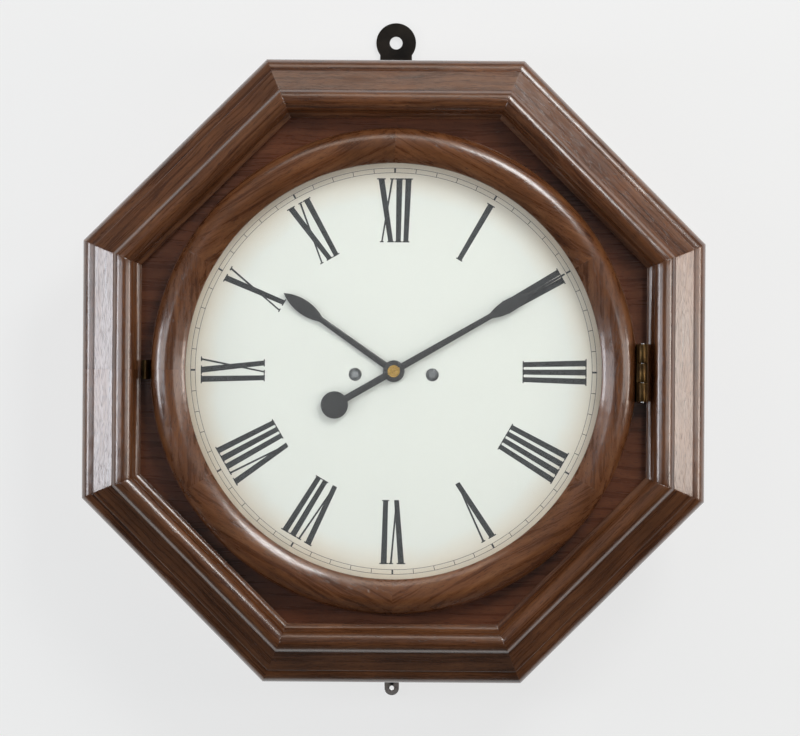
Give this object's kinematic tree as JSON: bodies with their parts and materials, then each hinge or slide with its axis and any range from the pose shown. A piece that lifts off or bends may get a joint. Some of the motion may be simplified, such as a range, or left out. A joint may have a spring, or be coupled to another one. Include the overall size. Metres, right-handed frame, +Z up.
{
  "type": "octagon wall clock",
  "caption": "Octagonal wall clock with a mitred moulded wooden frame, a turned bezel door with glass, a round dial and a striking movement behind it.",
  "frame": {"origin": "where the dial's axis meets the wall, in the back face", "axes": "+Z up, +Y into the wall, the dial faces -Y, +X to the right seen from the front"},
  "size_m": [0.457, 0.108, 0.507],
  "materials": {
    "polished_mahogany": "french-polished mahogany, glossy",
    "case_mahogany": "stained and polished, less glossy than the front",
    "red_mahogany": "reddish polished board",
    "plain_pine": "stained softwood, matt",
    "clock_brass": "lacquered brass, grained",
    "steel": "polished steel",
    "black_iron": "blackened iron, worn at the edges",
    "black_hands": "black lacquered steel",
    "painted_dial": "off-white paint, slightly yellowed at the rim",
    "clear_glass": "clear window glass"
  },
  "bodies": {
    "case": {"back_board": "plain_pine", "side_boards": "case_mahogany", "glue_blocks": "plain_pine", "dial_board": "red_mahogany", "rail_right": "polished_mahogany", "rail_upper_right": "polished_mahogany", "rail_top": "polished_mahogany", "rail_upper_left": "polished_mahogany", "rail_left": "polished_mahogany", "rail_lower_left": "polished_mahogany", "rail_bottom": "polished_mahogany", "rail_lower_right": "polished_mahogany", "back_screws": "steel", "hanger_plate": "black_iron", "steady_plate": "steel", "plate_screws": "steel", "hinge_case_leaf": "clock_brass", "hinge_pin": "steel", "catch_spring": "clock_brass", "dial_plate": "painted_dial", "dial_nails": "clock_brass", "movement_posts": "clock_brass", "back_plate": "clock_brass", "front_plate": "clock_brass", "pillars": "clock_brass", "pillar_nuts": "steel", "hairspring": "steel", "gong": "steel", "gong_block": "black_iron"},
    "bezel_door": {"bezel_ring": "polished_mahogany", "glass": "clear_glass", "glass_bead": "red_mahogany", "hinge_door_leaf": "clock_brass"},
    "minute_pipe": {"minute_hand": "black_hands", "cannon_pinion": "steel"},
    "centre_arbor": {"centre_wheel": "clock_brass", "hand_washer": "clock_brass", "hand_pin": "clock_brass"},
    "hour_pipe": {"hour_hand": "black_hands", "hour_wheel": "clock_brass"},
    "minute_wheel": {"minute_wheel": "clock_brass"},
    "going_barrel": {"time_barrel": "clock_brass", "time_barrel_cap": "clock_brass", "time_mainspring": "steel"},
    "going_winder": {"time_winding_arbor": "steel"},
    "going_click": {"time_click": "steel"},
    "third_wheel": {"third_wheel": "clock_brass"},
    "fourth_wheel": {"fourth_wheel": "clock_brass"},
    "escape_wheel": {"escape_wheel": "clock_brass"},
    "lever": {"lever": "steel"},
    "balance": {"balance_wheel": "clock_brass"},
    "striking_barrel": {"strike_barrel": "clock_brass", "strike_barrel_cap": "clock_brass", "strike_mainspring": "steel"},
    "striking_winder": {"strike_winding_arbor": "steel"},
    "striking_click": {"strike_click": "steel"},
    "pin_wheel": {"pin_wheel": "clock_brass"},
    "fly": {"fly": "clock_brass"},
    "hammer": {"hammer": "steel"}
  },
  "joints": [
    {"name": "bezel_hinge", "type": "hinge", "parent": "case", "child": "bezel_door", "pos_m": [0.1813, -0.105, 0], "axis": [0, 0, 1], "range_deg": [0, 120]},
    {"name": "minute_turn", "type": "hinge", "parent": "case", "child": "minute_pipe", "pos_m": [0, -0.08, 0], "axis": [0, 1, 0], "continuous": true},
    {"name": "centre_turn", "type": "hinge", "parent": "case", "child": "centre_arbor", "pos_m": [0, -0.06, 0], "axis": [0, 1, 0], "continuous": true},
    {"name": "hour_turn", "type": "hinge", "parent": "case", "child": "hour_pipe", "pos_m": [0, -0.08, 0], "axis": [0, 1, 0], "continuous": true},
    {"name": "minute_wheel_turn", "type": "hinge", "parent": "case", "child": "minute_wheel", "pos_m": [0, -0.073, -0.012], "axis": [0, 1, 0], "continuous": true},
    {"name": "going_barrel_turn", "type": "hinge", "parent": "case", "child": "going_barrel", "pos_m": [0.0283, -0.05, -0.0025], "axis": [0, 1, 0], "continuous": true},
    {"name": "third_turn", "type": "hinge", "parent": "case", "child": "third_wheel", "pos_m": [0, -0.05, 0.01701], "axis": [0, 1, 0], "continuous": true},
    {"name": "fourth_turn", "type": "hinge", "parent": "case", "child": "fourth_wheel", "pos_m": [0, -0.05, 0.03129], "axis": [0, 1, 0], "continuous": true},
    {"name": "escape_turn", "type": "hinge", "parent": "case", "child": "escape_wheel", "pos_m": [0.01062, -0.05, 0.03872], "axis": [0, 1, 0], "continuous": true},
    {"name": "going_winding", "type": "hinge", "parent": "case", "child": "going_winder", "pos_m": [0.0283, -0.072, -0.0025], "axis": [0, 1, 0], "continuous": true},
    {"name": "going_click_lift", "type": "hinge", "parent": "case", "child": "going_click", "pos_m": [0.03505, -0.072, 0.00919], "axis": [0, 1, 0], "range_deg": [-8, 0]},
    {"name": "lever_swing", "type": "hinge", "parent": "case", "child": "lever", "pos_m": [0.00512, -0.056, 0.04825], "axis": [0, 1, 0], "range_deg": [-4, 4]},
    {"name": "balance_swing", "type": "hinge", "parent": "case", "child": "balance", "pos_m": [-0.00338, -0.061, 0.06297], "axis": [0, 1, 0], "range_deg": [-135, 135], "stiffness_Nm_per_rad": 0.00013},
    {"name": "striking_barrel_turn", "type": "hinge", "parent": "case", "child": "striking_barrel", "pos_m": [-0.0283, -0.05, -0.0025], "axis": [0, 1, 0], "continuous": true},
    {"name": "pin_wheel_turn", "type": "hinge", "parent": "case", "child": "pin_wheel", "pos_m": [-0.033, -0.05, 0.02413], "axis": [0, 1, 0], "continuous": true},
    {"name": "fly_turn", "type": "hinge", "parent": "case", "child": "fly", "pos_m": [-0.0258, -0.05, 0.0366], "axis": [0, 1, 0], "continuous": true},
    {"name": "striking_winding", "type": "hinge", "parent": "case", "child": "striking_winder", "pos_m": [-0.0283, -0.072, -0.0025], "axis": [0, 1, 0], "continuous": true},
    {"name": "striking_click_lift", "type": "hinge", "parent": "case", "child": "striking_click", "pos_m": [-0.03505, -0.072, 0.00919], "axis": [0, 1, 0], "range_deg": [0, 8]},
    {"name": "hammer_lift", "type": "hinge", "parent": "case", "child": "hammer", "pos_m": [-0.052, -0.04, -0.024], "axis": [0, 1, 0], "range_deg": [-12, 0]}
  ],
  "couplings": [
    {"joint": "hour_turn", "follows": "minute_turn", "ratio": 0.083333},
    {"joint": "minute_wheel_turn", "follows": "minute_turn", "ratio": -0.33333},
    {"joint": "centre_turn", "follows": "minute_turn", "ratio": 1},
    {"joint": "third_turn", "follows": "minute_turn", "ratio": -8},
    {"joint": "fourth_turn", "follows": "minute_turn", "ratio": 60},
    {"joint": "escape_turn", "follows": "minute_turn", "ratio": -480},
    {"joint": "going_barrel_turn", "follows": "minute_turn", "ratio": -0.083333},
    {"joint": "striking_barrel_turn", "follows": "pin_wheel_turn", "ratio": -0.1},
    {"joint": "fly_turn", "follows": "pin_wheel_turn", "ratio": -9}
  ]
}
